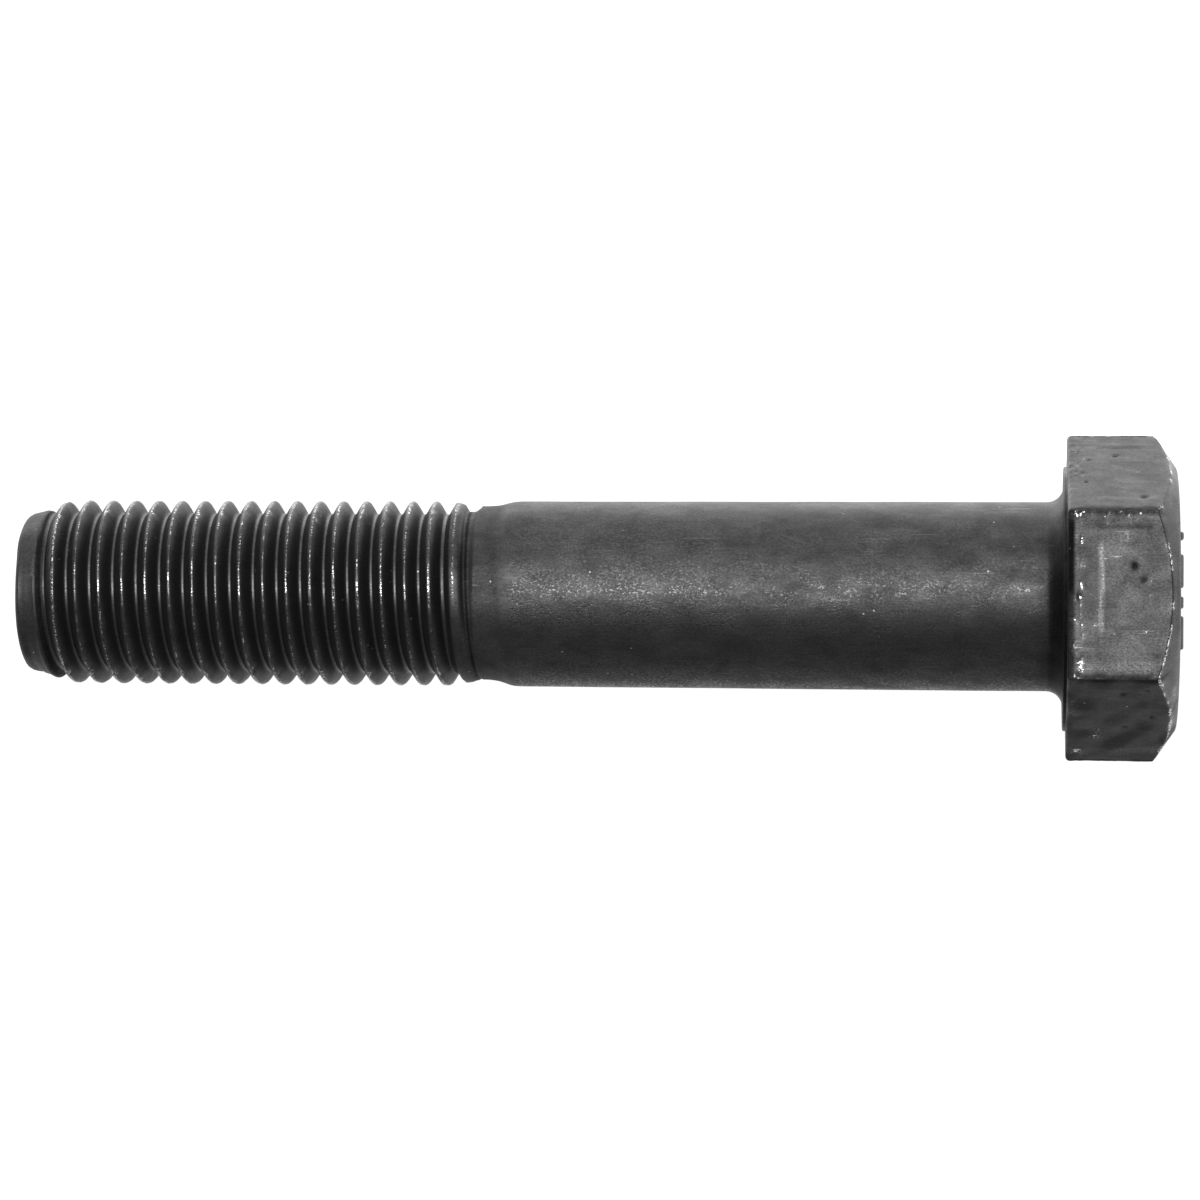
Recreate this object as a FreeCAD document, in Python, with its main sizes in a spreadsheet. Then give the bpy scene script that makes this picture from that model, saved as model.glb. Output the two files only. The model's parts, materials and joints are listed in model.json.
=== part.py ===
"""Hex bolt, M20 x 2.5, 110 mm long under the head, partly threaded, one piece of steel.

Frame: millimetres, the bolt lies along X as it rests on a bench.
The origin is on the bolt's axis in the plane of the washer face under the head.
The head runs towards +X and the threaded end points to -X. Two of the six flats face +Z and -Z.
"""
import FreeCAD, Part
import math
import os

import Sketcher

V = FreeCAD.Vector

# Driving dimensions in millimetres and counts: alias, value, what it is.
DIMENSIONS = [
    ("length", 110.0, "nominal length, tip face to washer face"),
    ("shank_diameter", 19.76, "plain shank"),
    ("neck_diameter", 18.44, "rolling blank left bare between thread and shank"),
    ("neck_start", 48.7, "start of the bare neck, from the tip"),
    ("neck_end", 50.6, "end of the bare neck, from the tip"),
    ("shank_start", 52.6, "end of the cone between neck and shank, from the tip"),
    ("fillet_radius", 1.3, "fillet under the head"),
    ("washer_diameter", 27.8, "washer face"),
    ("washer_height", 0.35, "washer face, proud of the hexagon"),
    ("head_height", 11.7, "washer face to top face"),
    ("across_flats", 29.8, "hexagon"),
    ("corner_radius", 0.5, "rounding of the six long edges of the hexagon"),
    ("top_diameter", 27.2, "flat top face inside the chamfer"),
    ("chamfer_depth", 3.0, "head chamfer along the axis, at its outer diameter"),
    ("chamfer_diameter", 36.4, "outer diameter of the chamfer, past the corners"),
    ("thread_pitch", 2.5, "coarse pitch, right-hand"),
    ("major_diameter", 19.68, "over the thread crests"),
    ("crest_start", 4.4, "first full crest, from the tip"),
    ("crest_end", 46.8, "last full crest, from the tip"),
    ("point_length", 1.6, "bare point, from the tip"),
    ("point_diameter", 17.0, "bare point where the thread starts"),
    ("tip_edge", 0.3, "broken edge of the tip face, along the axis"),
    ("tip_edge_diameter", 16.5, "point behind the broken edge"),
    ("tip_diameter", 15.9, "flat tip face"),
    ("root_diameter", 16.93, "over the thread roots"),
    ("root_radius", 0.36, "rounding of the thread root"),
    ("groove_diameter", 20.2, "outer diameter of the groove cutter, clear of the crests"),
    ("groove_width", 2.3, "width of the groove cutter at that diameter"),
    ("groove_lead", 2.35, "root ahead of the tip where the cut begins, on the +Y side"),
    ("groove_turns", 20, "turns of the groove, from its lead to the bare neck"),
    ("mark_height", 0.45, "raised plain bars on the top face"),
    ("mark_near", 6.4, "near edge of a row of bars, from the axis"),
    ("mark_far", 9.2, "far edge of a row of bars, from the axis"),
]
SIZE = {alias: value for alias, value, meaning in DIMENSIONS}

# A row of raised bars on the top face: the two ends of each bar along Y, in millimetres.
BARS = [(6.7, 5.8), (4.4, 0.9), (0.1, -1.2), (-1.9, -5.4)]

LEAST_THREAD_CUT = 1500.0  # cubic millimetres that the thread groove has to remove, at least

ZERO = (0.0, None)
ORIGIN, X_AXIS, Y_AXIS = (-1, 1), -1, -2  # the sketcher's own numbers for these
START, END, CENTRE = 1, 2, 3  # the sketcher's numbers for a curve's points


def size(alias, factor=1):
    """A driving dimension times a factor, as its value and its expression."""
    return SIZE[alias] * factor, f"Dimensions.{alias} * ({factor})"


def from_tip(alias):
    """An X coordinate stated from the tip, as its value and its expression."""
    return SIZE[alias] - SIZE["length"], f"Dimensions.{alias} - Dimensions.length"


def make_sheet(doc):
    """The spreadsheet that drives every size."""
    sheet = doc.addObject("Spreadsheet::Sheet", "Dimensions")
    for row, (alias, value, meaning) in enumerate(DIMENSIONS, start=1):
        sheet.set(f"A{row}", meaning)
        sheet.set(f"B{row}", str(value))
        sheet.setAlias(f"B{row}", alias)
    doc.recompute()


def origin_feature(body, role):
    """The body's own origin plane or axis with this role."""
    return next(o for o in body.Origin.OriginFeatures if o.Role == role)


def new_sketch(body, name, role):
    """An empty sketch on one of the body's origin planes."""
    sketch = body.newObject("Sketcher::SketchObject", name)
    sketch.AttachmentSupport = [(origin_feature(body, role), "")]
    sketch.MapMode = "FlatFace"
    return sketch


def relate(sketch, kind, *parts):
    """Add one geometric constraint."""
    sketch.addConstraint(Sketcher.Constraint(kind, *parts))


def measure(sketch, kind, *parts, to):
    """Add one driving constraint, tied to the spreadsheet where it has an expression."""
    value, expression = to
    index = sketch.addConstraint(Sketcher.Constraint(kind, *parts, value))
    if expression:
        sketch.setExpression(f"Constraints[{index}]", expression)


def pin(sketch, line, end, corner):
    """Fix one end of a line by its two coordinates. A zero coordinate puts it on that axis."""
    for kind, coordinate, axis in (("DistanceX", corner[0], Y_AXIS), ("DistanceY", corner[1], X_AXIS)):
        if coordinate is ZERO:
            relate(sketch, "PointOnObject", line, end, axis)
        else:
            measure(sketch, kind, *ORIGIN, line, end, to=coordinate)


def add_loop(sketch, points):
    """A closed loop of straight lines through these points. Gives the lines' numbers."""
    lines = []
    for start, end in zip(points, points[1:] + points[:1]):
        lines.append(sketch.addGeometry(Part.LineSegment(start, end), False))
    for line, following in zip(lines, lines[1:] + lines[:1]):
        relate(sketch, "Coincident", line, END, following, START)
    return lines


def add_outline(sketch, corners):
    """A closed outline whose corners are pinned, each a pair of coordinates."""
    lines = add_loop(sketch, [V(x[0], y[0], 0) for x, y in corners])
    for line, corner in zip(lines, corners):
        pin(sketch, line, START, corner)


def turn(body, kind, name, sketch):
    """A Revolution or Groove of the sketch, all the way round X."""
    feature = body.newObject(f"PartDesign::{kind}", name)
    feature.Profile = sketch
    feature.ReferenceAxis = (origin_feature(body, "X_Axis"), [""])
    feature.Angle = 360.0
    body.Document.recompute()
    return feature


def edges_where(feature, test):
    """The names of the feature's edges that pass the test."""
    return [f"Edge{i}" for i, edge in enumerate(feature.Shape.Edges, start=1) if test(edge)]


def add_fillet(body, name, base, edges, alias):
    """A fillet on these edges of the base feature, with the radius of this alias."""
    fillet = body.newObject("PartDesign::Fillet", name)
    fillet.Base = (base, edges)
    fillet.setExpression("Radius", f"Dimensions.{alias}")
    body.Document.recompute()


def add_shank(body):
    """Washer face, plain shank, bare neck, thread blank and point, in one revolution."""
    outline = [
        (size("washer_height"), ZERO),
        (size("washer_height"), size("washer_diameter", 0.5)),
        (ZERO, size("washer_diameter", 0.5)),
        (ZERO, size("shank_diameter", 0.5)),
        (from_tip("shank_start"), size("shank_diameter", 0.5)),
        (from_tip("neck_end"), size("neck_diameter", 0.5)),
        (from_tip("neck_start"), size("neck_diameter", 0.5)),
        (from_tip("crest_end"), size("major_diameter", 0.5)),
        (from_tip("crest_start"), size("major_diameter", 0.5)),
        (from_tip("point_length"), size("point_diameter", 0.5)),
        (from_tip("tip_edge"), size("tip_edge_diameter", 0.5)),
        (size("length", -1), size("tip_diameter", 0.5)),
        (size("length", -1), ZERO),
    ]
    sketch = new_sketch(body, "ShankOutline", "XY_Plane")
    add_outline(sketch, outline)
    shank = turn(body, "Revolution", "Shank", sketch)

    def under_head(edge):
        """The sharp inner circle where the shank meets the washer face."""
        inner = edge.BoundBox.YMax < SIZE["shank_diameter"] / 2 + 0.1
        return inner and abs(edge.CenterOfMass.x) < 0.01

    add_fillet(body, "UnderHeadFillet", shank, edges_where(shank, under_head), "fillet_radius")


def add_head(body):
    """The hexagon with its rounded corners, on top of the washer face."""
    sketch = new_sketch(body, "Hexagon", "YZ_Plane")
    sketch.setExpression(".AttachmentOffset.Base.z", "Dimensions.washer_height")
    reach = SIZE["across_flats"] / math.sqrt(3)
    sixths = [math.radians(60 * i) for i in range(6)]
    lines = add_loop(sketch, [V(reach * math.cos(a), reach * math.sin(a), 0) for a in sixths])
    inner = Part.Circle(V(0, 0, 0), V(0, 0, 1), SIZE["across_flats"] / 2)
    circle = sketch.addGeometry(inner, True)
    relate(sketch, "Coincident", circle, CENTRE, *ORIGIN)
    for line in lines:
        relate(sketch, "Tangent", line, circle)
    for line, following in zip(lines, lines[1:]):
        relate(sketch, "Equal", line, following)
    relate(sketch, "Horizontal", lines[1])
    measure(sketch, "Radius", circle, to=size("across_flats", 0.5))

    hexagon = body.newObject("PartDesign::Pad", "Head")
    hexagon.Profile = sketch
    hexagon.setExpression("Length", "Dimensions.head_height - Dimensions.washer_height")
    body.Document.recompute()

    def long_corner(edge):
        """One of the six long edges of the hexagon, which run along X."""
        box = edge.BoundBox
        off_axis = math.hypot(box.Center.y, box.Center.z)
        return box.YLength + box.ZLength < 0.01 and off_axis > reach - 0.1

    add_fillet(body, "HeadCorners", hexagon, edges_where(hexagon, long_corner), "corner_radius")


def add_chamfer(body):
    """The cone turned on the top of the head."""
    foot = (
        SIZE["head_height"] - SIZE["chamfer_depth"],
        "Dimensions.head_height - Dimensions.chamfer_depth",
    )
    outline = [
        (size("head_height"), size("top_diameter", 0.5)),
        (size("head_height"), size("chamfer_diameter", 0.5)),
        (foot, size("chamfer_diameter", 0.5)),
    ]
    sketch = new_sketch(body, "ChamferOutline", "XY_Plane")
    add_outline(sketch, outline)
    turn(body, "Groove", "HeadChamfer", sketch)


def add_marks(body):
    """A row of plain raised bars near each of two opposite flats, on the top face."""
    sketch = new_sketch(body, "Bars", "YZ_Plane")
    sketch.setExpression(".AttachmentOffset.Base.z", "Dimensions.head_height")
    near, far = size("mark_near"), size("mark_far")
    for left, right in BARS:
        corners = [((left, None), near), ((left, None), far), ((right, None), far), ((right, None), near)]
        add_outline(sketch, corners)
    bars = body.newObject("PartDesign::Pad", "RaisedBars")
    bars.Profile = sketch
    bars.setExpression("Length", "Dimensions.mark_height")
    body.Document.recompute()

    opposite = body.newObject("PartDesign::Mirrored", "OppositeBars")
    opposite.Originals = [bars]
    opposite.MirrorPlane = (origin_feature(body, "XY_Plane"), [""])
    body.Tip = opposite
    body.Document.recompute()


def add_thread(body):
    """A right-hand helical V groove with a rounded root: one turn, repeated along X.

    The cutter's outline stands on the +Y side. Its two flanks are tangent to the root's arc.
    """
    sketch = new_sketch(body, "GrooveOutline", "XY_Plane")
    root = (
        -SIZE["length"] - SIZE["groove_lead"],
        "-Dimensions.length - Dimensions.groove_lead",
    )
    heart = (
        SIZE["root_diameter"] / 2 + SIZE["root_radius"],
        "Dimensions.root_diameter / 2 + Dimensions.root_radius",
    )
    circle = Part.Circle(V(root[0], heart[0], 0), V(0, 0, 1), SIZE["root_radius"])
    bottom = Part.ArcOfCircle(circle, math.radians(210), math.radians(330))
    reach, half = SIZE["groove_diameter"] / 2, SIZE["groove_width"] / 2
    tip_side, head_side = V(root[0] - half, reach, 0), V(root[0] + half, reach, 0)
    arc = sketch.addGeometry(bottom, False)
    rising = sketch.addGeometry(Part.LineSegment(bottom.EndPoint, head_side), False)
    top = sketch.addGeometry(Part.LineSegment(head_side, tip_side), False)
    falling = sketch.addGeometry(Part.LineSegment(tip_side, bottom.StartPoint), False)
    relate(sketch, "Tangent", arc, END, rising, START)
    relate(sketch, "Coincident", rising, END, top, START)
    relate(sketch, "Coincident", top, END, falling, START)
    relate(sketch, "Tangent", falling, END, arc, START)
    relate(sketch, "Horizontal", top)
    measure(sketch, "Radius", arc, to=size("root_radius"))
    measure(sketch, "DistanceX", *ORIGIN, arc, CENTRE, to=root)
    measure(sketch, "DistanceY", *ORIGIN, arc, CENTRE, to=heart)
    measure(sketch, "DistanceY", *ORIGIN, top, START, to=size("groove_diameter", 0.5))
    measure(sketch, "DistanceX", arc, CENTRE, top, START, to=size("groove_width", 0.5))
    measure(sketch, "DistanceX", top, END, arc, CENTRE, to=size("groove_width", 0.5))

    groove = body.newObject("PartDesign::SubtractiveHelix", "ThreadGroove")
    groove.Profile = sketch
    groove.ReferenceAxis = (origin_feature(body, "X_Axis"), [""])
    groove.Mode = "pitch-height-angle"
    groove.LeftHanded = False
    groove.Angle = 0.0
    groove.setExpression("Pitch", "Dimensions.thread_pitch")
    groove.setExpression("Height", "Dimensions.thread_pitch")
    body.Document.recompute()

    turns = body.newObject("PartDesign::LinearPattern", "ThreadTurns")
    turns.Originals = [groove]
    turns.Direction = (origin_feature(body, "X_Axis"), [""])
    turns.setExpression("Occurrences", "Dimensions.groove_turns")
    turns.setExpression("Length", "Dimensions.thread_pitch * (Dimensions.groove_turns - 1)")
    body.Tip = turns
    body.Document.recompute()


def build_bolt(doc):
    """The bolt's body: every feature in the order it would be forged, turned and rolled."""
    bolt = doc.addObject("PartDesign::Body", "HexBolt")
    bolt.Label = "hex_bolt"
    bolt.Placement = FreeCAD.Placement()
    add_shank(bolt)
    add_head(bolt)
    add_chamfer(bolt)
    add_marks(bolt)
    unthreaded = bolt.Shape.Volume
    add_thread(bolt)
    removed = unthreaded - bolt.Shape.Volume
    if removed < LEAST_THREAD_CUT:
        raise RuntimeError(f"the thread groove removed only {removed:.0f} cubic millimetres")
    return bolt


def check(doc, bodies):
    """Stop if any object failed to recompute or any sub-part has no sound shape."""
    for item in doc.Objects:
        if "Invalid" in item.State or "Error" in item.State:
            raise RuntimeError(f"{item.Name} failed: {item.State}")
    for body in bodies:
        if body.Shape.isNull() or not body.Shape.isValid() or len(body.Shape.Solids) != 1:
            raise RuntimeError(f"{body.Label} isn't one sound solid")


def main():
    doc = FreeCAD.newDocument("HexBolt")
    make_sheet(doc)
    bodies = [build_bolt(doc)]
    doc.recompute()
    check(doc, bodies)
    os.makedirs("parts", exist_ok=True)
    for body in bodies:
        body.Shape.exportStep(f"parts/{body.Label}.step")
        print(f"{body.Label}: {body.Shape.Volume:.0f} mm3, {body.Shape.BoundBox}")


main()
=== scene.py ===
"""Looks for the hex bolt: one closed, detailed mesh of forged and rolled steel in black oxide.

Lengths are in millimetres while the mesh is worked out, and in metres once it is in Blender.
u is the distance from the tip along the axis, x = u - length. Angles run from +Z towards +Y.
"""
import json
import math

import bmesh
import bpy
import numpy as np
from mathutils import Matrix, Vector
from mathutils.geometry import delaunay_2d_cdt


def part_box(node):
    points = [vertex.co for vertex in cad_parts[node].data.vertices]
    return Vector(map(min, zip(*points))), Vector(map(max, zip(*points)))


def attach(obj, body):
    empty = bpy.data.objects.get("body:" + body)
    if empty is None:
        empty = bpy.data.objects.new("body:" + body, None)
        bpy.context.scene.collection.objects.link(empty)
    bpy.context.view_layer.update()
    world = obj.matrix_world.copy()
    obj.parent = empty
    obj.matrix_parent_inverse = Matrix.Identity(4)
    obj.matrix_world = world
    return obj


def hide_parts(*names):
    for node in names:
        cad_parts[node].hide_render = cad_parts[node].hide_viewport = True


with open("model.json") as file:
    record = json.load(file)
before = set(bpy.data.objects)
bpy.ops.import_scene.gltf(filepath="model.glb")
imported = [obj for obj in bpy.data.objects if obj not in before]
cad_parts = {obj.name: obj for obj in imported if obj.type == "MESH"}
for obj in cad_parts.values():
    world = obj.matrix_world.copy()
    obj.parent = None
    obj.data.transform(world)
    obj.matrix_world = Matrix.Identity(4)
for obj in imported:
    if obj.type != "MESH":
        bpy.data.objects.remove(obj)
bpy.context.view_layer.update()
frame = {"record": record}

MM = 0.001
MOUNTS = {mount["name"]: mount for mount in frame["record"]["mounts"]}
LOW, HIGH = (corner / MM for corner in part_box("hex_bolt"))

LENGTH = -LOW.x  # tip to washer face
SHANK = MOUNTS["shank"]["dims"]["r_mm"]
HALF_FLATS = HIGH.z  # half of the width across flats
MARK_HEIGHT = 0.45  # of the raised bars on the top face
HEAD = HIGH.x - MARK_HEIGHT  # washer face to top face

# Thread and point
PITCH = 2.5
CREST_AT = 3.9  # a crest on the +Y side, from the tip
MAJOR = 9.81
ROOT = 8.42
FLANK = math.tan(math.radians(60))
SHARP_ROOT = 0.36  # how far below the rounded root the flanks would meet
FIRST_FLANK, FIRST_SHARP_ROOT = 0.75, 0.08  # the same two for the first groove's shallow side
NECK_AT = 49.05  # edge of the bare neck, where the rolling dies ended
NECK_RADIUS = 9.2
TIP_RADIUS = 8.1

# Head
WASHER_RADIUS = 13.85
WASHER_HEIGHT = 0.35
UNDERSIDE_FROM = 13.98  # inner radius of the hexagon's underside
CORNER_RADIUS = 0.5
FILLET = 1.7
TOP_RADIUS = 13.6
CHAMFER_SLOPE = 4.6 / 3.0  # radius lost per millimetre of height
HEAD_OFF_CENTRE = 0.25  # the head was forged this far towards -Y

# Mesh density
BODY_COLUMNS = 150
HEAD_COLUMNS_PER_FLAT = 54
SHANK_ROWS = 46
CREST_ROWS = (0.06, 0.13, 0.21, 0.31, 0.56, 0.84, 0.97, 1.09, 1.17)  # on each side of a crest
TIP_ROWS = (0.46, 0.62, 0.85, 1.15, 1.5, 1.8, 2.2)
NECK_ROWS = (NECK_AT, 49.12, 49.25, 49.45, 49.8, 50.2, 50.6, 50.9, 51.2, 51.5, 51.8, 52.1, 52.4,
             52.8, 53.3)
SHANK_FROM = 54.2
ROW_GAP = 0.07  # least distance from the helix's rows to the rings beside the thread

# Profiles as (u, radius)
CREST_HEIGHTS = (
    (0.0, 8.12), (0.3, 8.26), (1.6, 8.56), (2.3, 8.8), (2.9, 9.26), (3.93, 9.6), (5.0, 9.78),
    (6.2, MAJOR), (43.0, MAJOR), (45.2, 9.78), (46.5, 9.62), (46.9, 9.5), (47.9, 9.46),
    (48.3, 9.28), (49.3, 9.2),
)
NECK_PROFILE = (
    (48.0, 9.2), (49.0, 9.2), (49.8, 9.22), (50.7, 9.31), (51.3, 9.47), (51.9, 9.67), (52.4, 9.77),
    (53.2, 9.81), (70.0, 9.83), (95.0, SHANK), (LENGTH, SHANK),
)


# ---------------------------------------------------------------- shape functions

def smooth_min(a, b, width):
    """The smaller of a and b, with their corner rounded over this width."""
    near = np.clip(1 - np.abs(a - b) / width, 0, None)
    return np.minimum(a, b) - near * near * width / 4


def smooth_max(a, b, width):
    """The larger of a and b, with their corner rounded over this width."""
    return -smooth_min(-a, -b, width)


def smooth_step(x, start, end):
    """0 before start, 1 after end, and an S curve between."""
    t = np.clip((x - start) / (end - start), 0, 1)
    return t * t * (3 - 2 * t)


def window(x, start, end, ease=0.3):
    """1 between start and end, with eased ends."""
    return smooth_step(x, start - ease, start) * (1 - smooth_step(x, end, end + ease))


def bell(x, width):
    """1 at 0, falling away over this width on both sides."""
    return np.exp(-((x / width) ** 2))


def spot(along, across, length, width):
    """A soft patch of height 1, from distances to its middle."""
    return np.exp(-((along / length) ** 2 + (across / width) ** 2))


def wrap(angle):
    """An angle brought to between -pi and pi."""
    return (angle + math.pi) % (2 * math.pi) - math.pi


def ripple(seed, points, wavelength, waves=9):
    """Smooth irregular noise between about -1 and 1: sines in fixed random directions."""
    random = np.random.default_rng(seed)
    total = np.zeros(len(points))
    for _ in range(waves):
        direction = random.normal(size=3)
        length = wavelength * random.uniform(0.6, 1.6)
        direction *= 2 * math.pi / (length * np.linalg.norm(direction))
        total += np.sin(points @ direction + random.uniform(0, 2 * math.pi))
    return total / math.sqrt(waves)


def profile(u, points):
    """A radius read off a list of (u, radius) points, with its corners eased."""
    at, radius = zip(*points)
    ease = 0.22
    shares = ((-ease, 0.25), (0, 0.5), (ease, 0.25))
    return sum(np.interp(u + shift, at, radius) * share for shift, share in shares)


def uneven_tip(angle):
    """How far the point bulges: it was pressed slightly off centre."""
    return 0.18 * np.clip(-np.sin(angle), 0, None) + 0.1 * np.clip(np.sin(angle), 0, None)


def neck_offset(u, angle):
    """The neck was rolled slightly off centre: high on the +Y side, low on the -Y side."""
    on_neck = (1 - smooth_step(u, 49.5, 52.5)) * smooth_step(u, 46.5, 48.6)
    return 0.09 * np.sin(angle) * on_neck


def bare_radius(u, angle):
    """Neck, cone and plain shank."""
    return profile(u, NECK_PROFILE) + neck_offset(u, angle)


def crest_turn(u, angle):
    """Turns of the helix, counted so that whole numbers are crests and halves are roots."""
    return (u - CREST_AT) / PITCH + angle / (2 * math.pi) - 0.25


def past_nearest(turn):
    """Distance along the axis past the nearest whole turn."""
    return (turn - np.round(turn)) * PITCH


def thread_radius(u, angle):
    """The threaded end: a V groove between rounded crests, rising out before the neck."""
    from_root = past_nearest(crest_turn(u, angle) - 0.5)
    root_at = u - from_root
    neck = NECK_RADIUS + neck_offset(u, angle)
    floor = np.maximum(ROOT, 8.69 + 0.288 * (root_at - 47.65))  # the groove rises in its last turn
    floor = floor - 0.09 * (1 - smooth_step(root_at, 3.0, 6.0))
    flat = 0.05 * smooth_step(root_at, 46.6, 47.5)
    first = (1 - smooth_step(root_at, 3.3, 4.6)) * (from_root < 0)
    slope = FLANK + (FIRST_FLANK - FLANK) * first
    sharp = SHARP_ROOT + (FIRST_SHARP_ROOT - SHARP_ROOT) * first
    flank = floor - sharp + slope * np.clip(np.abs(from_root) - flat, 0, None)
    die_wall = neck + 0.03 - 0.75 * (NECK_AT - u)
    last = smooth_step(root_at, 47.1, 47.6) * (from_root > 0)
    flank = flank * (1 - last) + np.maximum(die_wall, floor - SHARP_ROOT) * last
    groove = smooth_max(floor, flank, 0.3 - 0.22 * smooth_step(u, 44.0, 46.5))
    crest = profile(u, CREST_HEIGHTS) + neck_offset(u, angle)
    blend = 0.12 + 0.34 * smooth_step(u, 3.3, 4.1) - 0.34 * smooth_step(u, 43.5, 46.3)
    return smooth_min(crest, groove, blend)


def hexagon_reach(angle):
    """Distance from the axis to the side of the hexagon, with its corners rounded."""
    sixth = math.pi / 3
    local = np.abs((angle + sixth / 2) % sixth - sixth / 2)
    to_corner = sixth / 2 - local
    centre = (HALF_FLATS - CORNER_RADIUS) / math.cos(sixth / 2)
    across = centre * np.sin(to_corner)
    bulge = np.sqrt(np.clip(CORNER_RADIUS**2 - across**2, 0, None))
    rounded = centre * np.cos(to_corner) + bulge
    flat = HALF_FLATS / np.cos(local)
    corner_starts = math.atan2(CORNER_RADIUS * math.sin(sixth / 2),
                               centre + CORNER_RADIUS * math.cos(sixth / 2))
    return np.where(to_corner < corner_starts, rounded, flat)


# ---------------------------------------------------------------- mesh building

class Shell:
    """Vertices as (u, radius, angle) plus faces, built up as rings and strips."""

    def __init__(self):
        self.places, self.faces = [], []

    def add(self, u, radius, angles):
        """A ring or column of vertices. Gives their numbers."""
        first = len(self.places)
        u, radius, angles = np.broadcast_arrays(u, radius, angles)
        self.places.extend(zip(u.tolist(), radius.tolist(), angles.tolist()))
        return list(range(first, len(self.places)))

    def zip_up(self, left, right, left_keys, right_keys):
        """Faces between two lines of vertices, advancing on whichever key comes next."""
        a = b = 0
        while a < len(left) - 1 or b < len(right) - 1:
            next_a = left_keys[a + 1] if a < len(left) - 1 else math.inf
            next_b = right_keys[b + 1] if b < len(right) - 1 else math.inf
            if abs(next_a - next_b) < 1e-6:
                self.faces.append((left[a], left[a + 1], right[b + 1], right[b]))
                a, b = a + 1, b + 1
            elif next_a < next_b:
                self.faces.append((left[a], left[a + 1], right[b]))
                a += 1
            else:
                self.faces.append((left[a], right[b + 1], right[b]))
                b += 1

    def bridge(self, lower, upper):
        """Quads between two rings with the same number of vertices."""
        for i in range(len(lower)):
            j = (i + 1) % len(lower)
            self.faces.append((lower[i], upper[i], upper[j], lower[j]))


BODY_ANGLES = np.arange(BODY_COLUMNS) * 2 * math.pi / BODY_COLUMNS


def add_tip(shell):
    """The flat tip face and its broken edge, worn most on top. Gives the last ring."""
    centre = shell.add(0.0, [0.0], 0.0)[0]
    turned = wrap(BODY_ANGLES)
    worn = np.clip(np.cos(turned), 0, None) ** 2 * (1 - smooth_step(turned, 0.35, 0.7))
    worn = worn + 0.1 * np.sin(5 * turned + 1)
    edge = 0.12 + 0.26 * worn
    outer = TIP_RADIUS + uneven_tip(BODY_ANGLES)
    rings = [shell.add(0.0, radius, BODY_ANGLES) for radius in (2.5, 5.0, 6.6)]
    for share, inset in ((0.0, 0.86), (0.3, 0.38), (0.72, 0.1), (1.0, 0.0)):
        rings.append(shell.add(edge * share, outer - inset * (0.35 + 0.65 * worn), BODY_ANGLES))
    for i in range(BODY_COLUMNS):
        shell.faces.append((centre, rings[0][i], rings[0][(i + 1) % BODY_COLUMNS]))
    for lower, upper in zip(rings, rings[1:]):
        shell.bridge(lower, upper)
    return rings[-1]


def add_columns(shell, first_ring):
    """Thread, neck and shank as columns along the axis. Rows follow the helix along the thread.

    Gives the last ring.
    """
    rows = sorted([0.0, PITCH / 2, *CREST_ROWS, *(-row for row in CREST_ROWS)])
    turns = range(-3, int(NECK_AT / PITCH) + 3)
    first_crest = CREST_AT + PITCH * 0.25
    helix = np.array([first_crest + PITCH * turn + row for turn in turns for row in rows])
    before = np.array(TIP_ROWS)
    after = np.concatenate([NECK_ROWS, np.linspace(SHANK_FROM, LENGTH - FILLET, SHANK_ROWS)])
    columns = []
    for column, angle in enumerate(BODY_ANGLES):
        at = helix - PITCH * angle / (2 * math.pi)
        inside = (at > before[-1] + ROW_GAP) & (at < NECK_AT - ROW_GAP)
        u = np.concatenate([before, at[inside], after])
        radius = np.where(u < NECK_AT, thread_radius(u, angle), bare_radius(u, angle))
        radius = radius + uneven_tip(angle) * (1 - smooth_step(u, 1.6, 3.2))
        keys = np.concatenate([before - 2 * PITCH, helix[inside], after + 2 * PITCH])
        numbers = [first_ring[column]] + shell.add(u, radius, angle)
        columns.append((numbers, [-math.inf] + keys.tolist()))
    for (left, left_keys), (right, right_keys) in zip(columns, columns[1:] + columns[:1]):
        if right is columns[0][0]:  # the helix has climbed one pitch by the last column
            tail = len(right_keys) - len(after)
            right_keys = [key + PITCH if len(before) < i < tail else key
                          for i, key in enumerate(right_keys)]
        shell.zip_up(left, right, left_keys, right_keys)
    return [numbers[-1] for numbers, _ in columns]


def add_under_head(shell, last_ring):
    """The fillet and the washer face. Gives the last ring."""
    steps = 8
    bends = [step / steps * math.pi / 2 for step in range(1, steps + 1)]
    places = [(LENGTH - FILLET + FILLET * math.sin(bend), SHANK + FILLET * (1 - math.cos(bend)))
              for bend in bends]
    for u, radius in places + [(LENGTH, 12.2), (LENGTH, 13.0)]:
        ring = shell.add(u, radius, BODY_ANGLES)
        shell.bridge(last_ring, ring)
        last_ring = ring
    return last_ring


def head_angles():
    """The head's columns: close together round each corner, even along each flat."""
    corner = np.radians([-1.02, -0.62, -0.2, 0.2, 0.62])
    along = np.linspace(math.radians(1.02), math.radians(58.98), HEAD_COLUMNS_PER_FLAT + 1)[:-1]
    sector = np.concatenate([corner, along])
    sectors = np.concatenate([sector + math.radians(30 + 60 * i) for i in range(6)])
    return np.sort(sectors % (2 * math.pi))


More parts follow.
